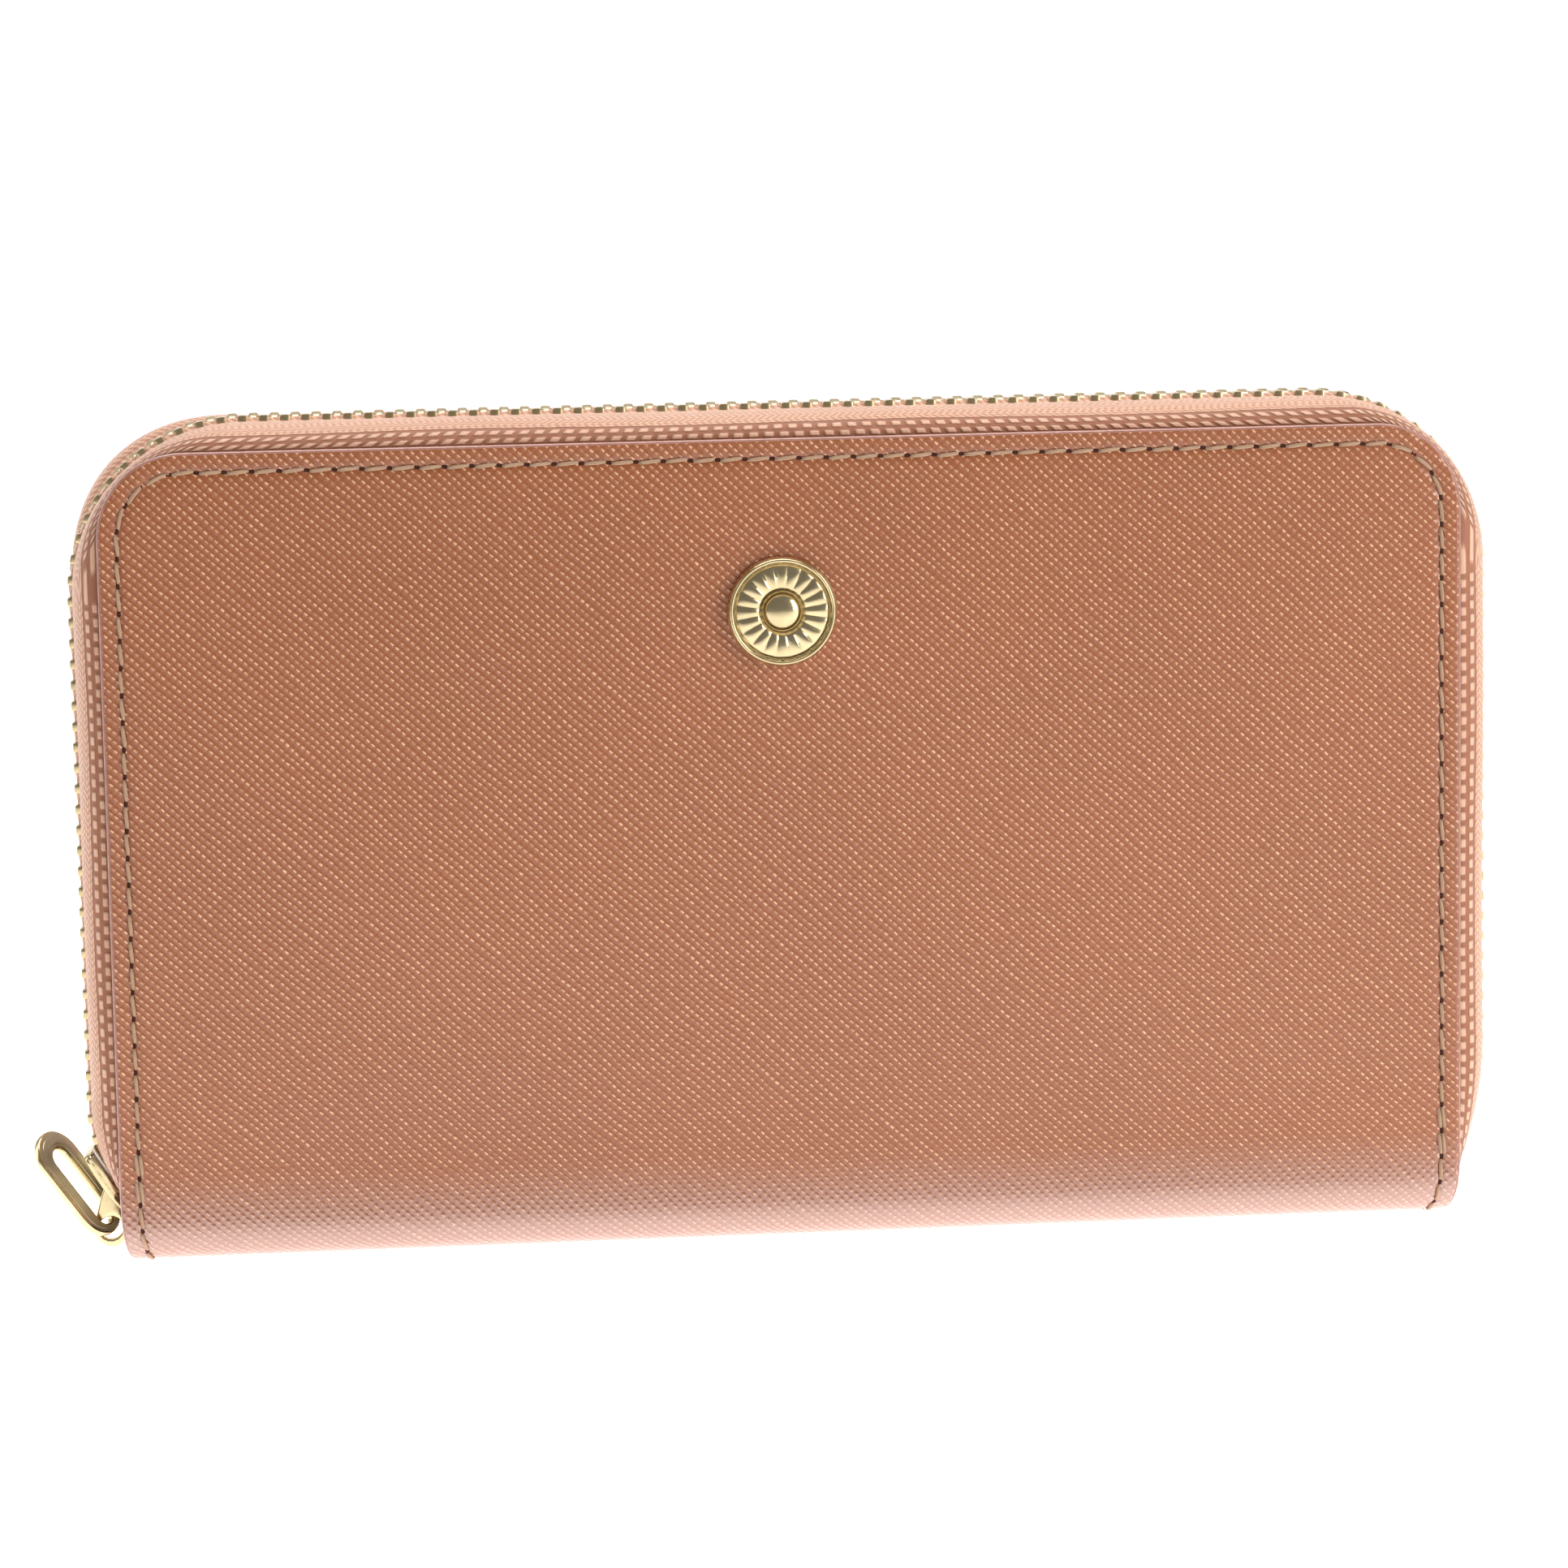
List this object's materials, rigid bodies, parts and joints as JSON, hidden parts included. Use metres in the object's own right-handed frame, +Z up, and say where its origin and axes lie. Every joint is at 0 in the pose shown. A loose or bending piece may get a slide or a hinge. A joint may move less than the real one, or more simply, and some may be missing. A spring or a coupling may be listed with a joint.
{
  "type": "zip around wallet",
  "caption": "Long leather wallet standing on its folded spine, closed on three sides by a metal zip, with pleated note compartments, card slots and a zipped coin pocket.",
  "frame": {"origin": "middle of the spine's flat underside, where the wallet stands", "axes": "+Z up through the open edge, +X to the wallet's right seen from the front, front cover towards -Y"},
  "size_m": [0.2028, 0.0265, 0.1151],
  "materials": {
    "leather": "cross-hatch embossed, satin",
    "lining": "fine twill",
    "board": "grey-white fibreboard",
    "tape": "ribbed woven zip tape",
    "gold": "pale gold plating, polished",
    "steel": "plain"
  },
  "bodies": {
    "spine": {"spine_cover": "leather", "spine_board": "board", "spine_lining": "lining", "coin_wall_front": "lining", "coin_wall_back": "lining", "coin_floor": "lining", "coin_end_left": "lining", "coin_end_right": "lining", "coin_tape_front": "tape", "coin_tape_back": "tape", "coin_teeth_front": "gold", "coin_teeth_back": "gold", "coin_stop_left": "gold", "coin_stop_right": "gold", "zip_end_tape_left_front": "tape", "zip_end_tape_left_back": "tape", "zip_end_tape_right_front": "tape", "zip_end_tape_right_back": "tape", "zip_end_teeth_left_front": "gold", "zip_end_teeth_left_back": "gold", "zip_end_teeth_right_front": "gold", "zip_end_teeth_right_back": "gold", "zip_bottom_stop": "gold", "gusset_left_front": "lining", "gusset_left_back": "lining", "gusset_right_front": "lining", "gusset_right_back": "lining"},
    "front_half": {"cover_front": "leather", "board_front": "board", "lining_front": "lining", "slip_pocket_front": "leather", "card_slot_front_1": "leather", "card_slot_front_2": "leather", "card_slot_front_3": "leather", "zip_tape_front": "tape", "zip_teeth_front": "gold", "emblem": "gold", "emblem_plate": "steel"},
    "back_half": {"cover_back": "leather", "board_back": "board", "lining_back": "lining", "slip_pocket_back": "leather", "card_slot_back_1": "leather", "card_slot_back_2": "leather", "card_slot_back_3": "leather", "zip_tape_back": "tape", "zip_teeth_back": "gold"},
    "slider": {"slider_body": "gold"},
    "puller": {"puller_ring": "gold"},
    "coin_slider": {"coin_slider": "gold"},
    "coin_puller": {"coin_puller": "gold"}
  },
  "joints": [
    {"name": "front_cover_open", "type": "hinge", "parent": "spine", "child": "front_half", "pos_m": [0, -0.0123, 0.009], "axis": [1, 0, 0], "range_deg": [0, 24], "deforming": ["gusset_left_front", "gusset_right_front"]},
    {"name": "back_cover_open", "type": "hinge", "parent": "spine", "child": "back_half", "pos_m": [0, 0.0123, 0.009], "axis": [-1, 0, 0], "range_deg": [0, 24], "deforming": ["gusset_left_back", "gusset_right_back"]},
    {"name": "zip_slider_run", "type": "hinge", "parent": "spine", "child": "slider", "pos_m": [-0.075, 0, 0.0218], "axis": [0, 1, 0], "range_deg": [0, 31]},
    {"name": "puller_swing", "type": "hinge", "parent": "slider", "child": "puller", "pos_m": [-0.09454, 0, 0.00306], "axis": [0, -1, 0], "range_deg": [0, 110]},
    {"name": "coin_slider_run", "type": "slide", "parent": "spine", "child": "coin_slider", "axis": [1, 0, 0], "range_m": [0, 0.141]},
    {"name": "coin_puller_swing", "type": "hinge", "parent": "coin_slider", "child": "coin_puller", "pos_m": [-0.0705, 0, 0.0924], "axis": [0, -1, 0], "range_deg": [0, 165]}
  ]
}
